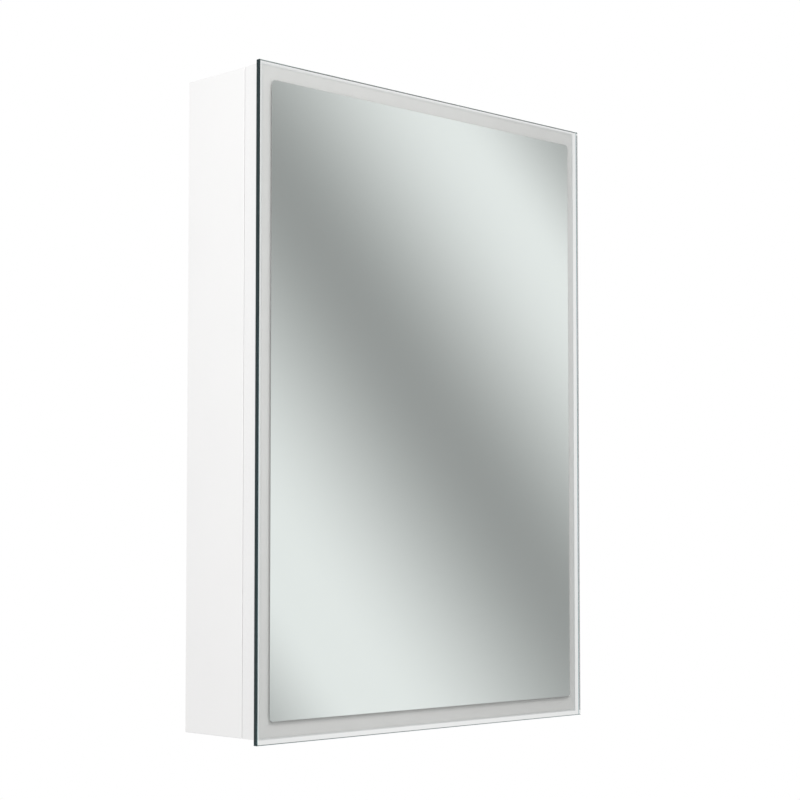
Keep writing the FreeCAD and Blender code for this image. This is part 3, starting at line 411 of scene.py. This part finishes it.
def pane_mesh(name, low, high, thin, arris):
    """A closed pane, thin along one axis (0, 1 or 2), with a small arris round both faces. Faces are
    slot 0, the edges at the ends of the first wide axis slot 1, and the other two edges slot 2."""
    wide = [i for i in range(3) if i != thin]
    work = bmesh.new()

    def loop(level, inset):
        a0, a1 = low[wide[0]] + inset, high[wide[0]] - inset
        b0, b1 = low[wide[1]] + inset, high[wide[1]] - inset
        made = []
        for a, b in ((a0, b0), (a1, b0), (a1, b1), (a0, b1)):
            at = [0.0, 0.0, 0.0]
            at[thin], at[wide[0]], at[wide[1]] = level, a, b
            made.append(work.verts.new(at))
        return made

    near, far = low[thin], high[thin]
    loops = [loop(near, arris), loop(near + arris, 0), loop(far - arris, 0), loop(far, arris)]
    work.faces.new(loops[0])
    work.faces.new(list(reversed(loops[-1])))
    for front, behind in zip(loops, loops[1:]):
        for i in range(4):
            j = (i + 1) % 4
            edge = work.faces.new((front[i], behind[i], behind[j], front[j]))
            edge.material_index = 1 if i % 2 else 2
    bmesh.ops.recalc_face_normals(work, faces=work.faces)
    mesh = bpy.data.meshes.new(name)
    work.to_mesh(mesh)
    work.free()
    return mesh


def pane(name, low, high, thin, arris, edges, body, replaced):
    """A clear pane that lets lamplight straight through."""
    mesh = pane_mesh(name, low, high, thin, arris)
    made = piece(name, mesh, [MATERIALS["clear_glass"], *edges], body, replaced)
    made.visible_shadow = False
    return made


def on_planes(edge, planes):
    """How many of the (axis, level) planes the whole edge lies on."""
    return sum(all(abs(vert.co[axis] - level) < SAME_PLACE for vert in edge.verts)
               for axis, level in planes)


def runs_along(edge, axis):
    run = edge.verts[1].co - edge.verts[0].co
    return abs(run[axis]) > 0.99 * run.length


def eased(name, rounds):
    """A node's own shape with some of its long edges rounded over. rounds is (axis, planes, radius)
    for each set: the edges along that axis that lie on two of the planes."""
    work = bmesh.new()
    work.from_mesh(node[name].data)
    bmesh.ops.remove_doubles(work, verts=work.verts, dist=1e-6)
    bmesh.ops.dissolve_limit(work, angle_limit=math.radians(0.5), verts=work.verts,
                             edges=work.edges, delimit={"NORMAL"})
    for axis, planes, radius in rounds:
        picked = [e for e in work.edges if runs_along(e, axis) and on_planes(e, planes) >= 2
                  and e.calc_length() > 4 * radius]
        bmesh.ops.bevel(work, geom=picked, offset=radius, segments=4, profile=0.5, affect="EDGES",
                        clamp_overlap=True)
    for face in work.faces:
        face.smooth = False
    bmesh.ops.triangulate(work, faces=[f for f in work.faces if len(f.verts) > 4])
    mesh = bpy.data.meshes.new(name + "_eased")
    work.to_mesh(mesh)
    work.free()
    slot = slot_of_node[name]
    return piece(name + "_eased", mesh, [MATERIALS[slot]], node[name]["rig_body"], (name,))


def boards():
    """The case's boards, with the lacquered edges eased where a hand or eye meets them."""
    for name, is_left in (("side_panel_left", True), ("side_panel_right", False)):
        low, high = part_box(name)
        outer_x = low.x if is_left else high.x
        inner_x = high.x if is_left else low.x
        ends = [(2, low.z), (2, high.z)]
        eased(name, [
            (2, [(0, outer_x), (0, inner_x), (1, low.y)], BOARD_EDGE_R),
            (1, [(0, outer_x), *ends], BOARD_END_R),
            (0, [(1, low.y), *ends], BOARD_END_R)])
    for name in ("top_panel", "bottom_panel"):
        low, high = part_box(name)
        eased(name, [(0, [(1, low.y), (2, low.z), (2, high.z)], BOARD_EDGE_R)])


def frame_bars():
    """The lamp frame's four bars, with the small radius of an extruded edge round the back of the
    door."""
    bars = {"carrier_left": 2, "carrier_right": 2, "carrier_top": 0, "carrier_bottom": 0}
    for name, axis in bars.items():
        low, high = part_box(name)
        across = 0 if axis == 2 else 2
        planes = [(1, high.y), (across, low[across]), (across, high[across])]
        eased(name, [(axis, planes, BAR_EDGE_R)])


def electrics_tray():
    """The moulded box, with its four long corners rounded."""
    low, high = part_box("electrics_box")
    sides = [(0, low.x), (0, high.x), (2, low.z), (2, high.z)]
    eased("electrics_box", [(1, sides, TRAY_CORNER_R)])


def screws():
    """Screws whose crossed recess is as deep as a driver's bit, not the CAD's shallow mark. side is
    +1 where the heads face the wall, and -1 where they face the room."""
    for name, side in (("hinge_body_screws", -1), ("hinge_door_screws", 1),
                       ("back_panel_screws", 1), ("lid_screws", -1)):
        low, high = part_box(name)
        mark = (high.y if side > 0 else low.y) - side * RECESS_MARK
        work = bmesh.new()
        work.from_mesh(node[name].data)
        bmesh.ops.remove_doubles(work, verts=work.verts, dist=1e-7)
        for vert in work.verts:
            if abs(vert.co.y - mark) < 2 * SAME_PLACE:
                vert.co.y -= side * RECESS_DEEPER
        mesh = bpy.data.meshes.new(name + "_crossed")
        work.to_mesh(mesh)
        work.free()
        slot = slot_of_node[name]
        piece(name + "_crossed", mesh, [MATERIALS[slot]], node[name]["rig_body"], (name,))


def door_glass(edges):
    """The door's laminated glass as one clear pane, with the silver inside it."""
    low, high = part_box("door_front_pane")
    high.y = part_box("door_rear_pane")[1].y
    pane("door_glass", low, high, 1, GLASS_ARRIS, edges, "door",
         ("door_front_pane", "door_rear_pane", "clear_bond"))


def shelves(edges):
    for name in ("shelf_lower", "shelf_upper"):
        low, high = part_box(name)
        pane(name + "_glass", low, high, 2, SHELF_ARRIS, edges, "cabinet", (name,))


def inner_mirror(edges):
    low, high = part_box("inner_mirror_pane")
    pane("inner_mirror_glass", low, high, 1, GLASS_ARRIS, edges, "door", ("inner_mirror_pane",))


# Two copies of one glass edge: the upright edges are made darker as painted shade, the level edges
# lighter as painted light.
shaded_upright_edge = glass_edge("shaded_upright_edge", (0.13, 0.36, 0.4, 1), (0.17, 0.41, 0.46, 1))
lit_level_edge = glass_edge("lit_level_edge", (0.4, 0.62, 0.63, 1), (0.46, 0.67, 0.68, 1))
ground_edge = green_edge()
boards()
frame_bars()
electrics_tray()
screws()
door_glass((shaded_upright_edge, lit_level_edge))
shelves((ground_edge, ground_edge))
inner_mirror((shaded_upright_edge, lit_level_edge))

# ---------------------------------------------------------------- stage


def stage_mesh(name, verts, faces, made):
    mesh = bpy.data.meshes.new(name)
    mesh.from_pydata(verts, [], faces)
    mesh.materials.append(made)
    obj = bpy.data.objects.new(name, mesh)
    bpy.context.scene.collection.objects.link(obj)
    return obj


FLOOR_Z = -1.5
FLOOR_R = 7.0
FLOOR_SIDES = 64
FLOOR_FADE = (1.5, 4.5)     # from this far out to this far, the floor turns to the backdrop's white
TENT_R = 3.4
TENT_TOP = 3.5
TENT_SIDES = 60
TENT_CENTRE_Y = -0.1
TENT_STRENGTH = 1.08
TENT_PLAIN = 0.8            # its grey where it has no bands
TENT_FOOT = (-1.35, -0.75)  # the bands fade in between these heights
TENT_ENDS = (-1.3, -0.05)   # and fade out towards its ends, between these depths from its centre
BANDS = 10                  # how many times the bands repeat round the whole circle
BAND_RISE = 0.68            # how far a band leans: metres round for a metre up
BAND_SHIFT = -2.513         # where a dark band's middle is, in metres round
LIGHT = 0.79
DARK = 0.314
HALF_DARK = 0.41
DARK_AT = 0.38              # the dark band's middle, as a share of one repeat
EYE_LIGHT = 1.0             # the world's strength as the camera sees it
GLASS_LIGHT = 0.84          # as seen through glass
ROOM_LIGHT = 0.47           # and for all else


def floor():
    """A pale round floor that turns to white light far out, so that it has no edge."""
    made, tree, shader = material("floor", grey(0.86), 0.6)
    set_colour(tree, shader, noise(tree, 5, 3), [(0.3, grey(0.85)), (0.7, grey(0.87))])
    bump(tree, shader, noise(tree, 250, 2), 0.0001)
    glow = tree.nodes.new("ShaderNodeEmission")
    mix = tree.nodes.new("ShaderNodeMixShader")
    length = tree.nodes.new("ShaderNodeVectorMath")
    length.operation = "LENGTH"
    tree.links.new(place(tree, (1, 1, 0)), length.inputs[0])
    tree.links.new(between(tree, length.outputs["Value"], 0, 1, *FLOOR_FADE), mix.inputs[0])
    tree.links.new(shader.outputs[0], mix.inputs[1])
    tree.links.new(glow.outputs[0], mix.inputs[2])
    tree.links.new(mix.outputs[0], tree.nodes["Material Output"].inputs["Surface"])
    made.cycles.emission_sampling = "NONE"
    angles = [2 * math.pi * i / FLOOR_SIDES for i in range(FLOOR_SIDES)]
    verts = [(FLOOR_R * math.cos(a), FLOOR_R * math.sin(a), FLOOR_Z) for a in angles]
    stage_mesh("floor", verts, [list(range(FLOOR_SIDES))], made)


def light_tent():
    """Half a round tent in front of the object, seen only in reflections and through glass: broad
    slanting bands, light and dark, that the mirror picks up."""
    made = bpy.data.materials.new("light_tent")
    made.use_nodes = True
    tree = made.node_tree
    tree.nodes.clear()
    out = tree.nodes.new("ShaderNodeOutputMaterial")
    glow = tree.nodes.new("ShaderNodeEmission")
    split = tree.nodes.new("ShaderNodeSeparateXYZ")
    tree.links.new(place(tree), split.inputs[0])

    depth = arithmetic(tree, "SUBTRACT", split.outputs["Y"], TENT_CENTRE_Y)
    angle = arithmetic(tree, "ARCTAN2", depth, split.outputs["X"])
    way_round = arithmetic(tree, "MULTIPLY", angle, TENT_R)
    slant = arithmetic(tree, "MULTIPLY", split.outputs["Z"], BAND_RISE)
    slanted = arithmetic(tree, "ADD", way_round, slant)
    from_band = arithmetic(tree, "SUBTRACT", slanted, BAND_SHIFT)
    repeats = arithmetic(tree, "DIVIDE", from_band, 2 * math.pi * TENT_R / BANDS)
    share = arithmetic(tree, "FRACT", arithmetic(tree, "ADD", repeats, DARK_AT))
    stops = [(0.0, LIGHT), (0.05, LIGHT), (DARK_AT, DARK),
             (0.68, LIGHT), (0.83, HALF_DARK), (1.0, LIGHT)]
    bands = ramp(tree, share, [(at, grey(value)) for at, value in stops], "EASE")

    near_floor = between(tree, split.outputs["Z"], 1, 0, *TENT_FOOT)
    near_ends = between(tree, depth, 0, 1, *TENT_ENDS)
    fade = tree.nodes.new("ShaderNodeMix")
    fade.data_type = "RGBA"
    tree.links.new(arithmetic(tree, "MAXIMUM", near_floor, near_ends), fade.inputs[0])
    tree.links.new(bands, fade.inputs[6])
    fade.inputs[7].default_value = grey(TENT_PLAIN)
    tree.links.new(fade.outputs[2], glow.inputs["Color"])
    glow.inputs["Strength"].default_value = TENT_STRENGTH
    tree.links.new(glow.outputs[0], out.inputs["Surface"])
    made.cycles.emission_sampling = "NONE"

    angles = [-math.pi * i / TENT_SIDES for i in range(TENT_SIDES + 1)]
    verts = [(TENT_R * math.cos(a), TENT_CENTRE_Y + TENT_R * math.sin(a), z)
             for z in (FLOOR_Z, TENT_TOP) for a in angles]
    row = len(angles)
    faces = [(i, i + 1, row + i + 1, row + i) for i in range(TENT_SIDES)]
    tent = stage_mesh("light_tent", verts, faces, made)
    tent.visible_camera = False
    tent.visible_diffuse = False
    tent.visible_shadow = False


def world():
    """White all round: full to the eye, less through glass, and about half for all else."""
    made = bpy.data.worlds.new("studio")
    bpy.context.scene.world = made
    made.use_nodes = True
    tree = made.node_tree
    background = tree.nodes["Background"]
    background.inputs["Color"].default_value = (1, 1, 1, 1)
    path = tree.nodes.new("ShaderNodeLightPath")
    lit = between(tree, path.outputs["Is Transmission Ray"], ROOM_LIGHT, GLASS_LIGHT)
    seen = between(tree, path.outputs["Is Camera Ray"], 0, EYE_LIGHT)
    tree.links.new(arithmetic(tree, "MAXIMUM", seen, lit), background.inputs["Strength"])


def soft_light(name, position, target, size, power):
    """A square lamp that lights surfaces but isn't seen in mirrors or through glass."""
    lamp = bpy.data.lights.new(name, "AREA")
    lamp.shape = "SQUARE"
    lamp.size = size
    lamp.energy = power
    obj = bpy.data.objects.new(name, lamp)
    bpy.context.scene.collection.objects.link(obj)
    obj.location = position
    obj.rotation_euler = (Vector(target) - Vector(position)).to_track_quat("-Z", "Y").to_euler()
    obj.visible_glossy = False
    obj.visible_transmission = False
    obj.visible_camera = False


def camera():
    """The photo's view: from the front left, a little below the middle, tilted up a little."""
    data = bpy.data.cameras.new("camera")
    data.sensor_width = 36.0
    data.lens = 84.52
    data.shift_y = 0.05
    data.clip_end = 100.0
    obj = bpy.data.objects.new("camera", data)
    bpy.context.scene.collection.objects.link(obj)
    obj.location = (-1.4729, -1.5872, -0.1464)
    obj.rotation_euler = (math.radians(90 + 3.11), 0, math.radians(-44.202))
    bpy.context.scene.camera = obj


scene = bpy.context.scene
scene.view_settings.view_transform = "Standard"
floor()
light_tent()
world()
soft_light("side", (-2.85, -0.1, 1.42), (-0.25, 0, 0.1), 1.6, 36)
soft_light("front", (-0.75, -1.1, 0.35), (0, -0.12, 0), 0.7, 4)
soft_light("overhead", (-0.3, -2.7, 2.6), (0, -0.12, 0), 1.3, 40)
camera()
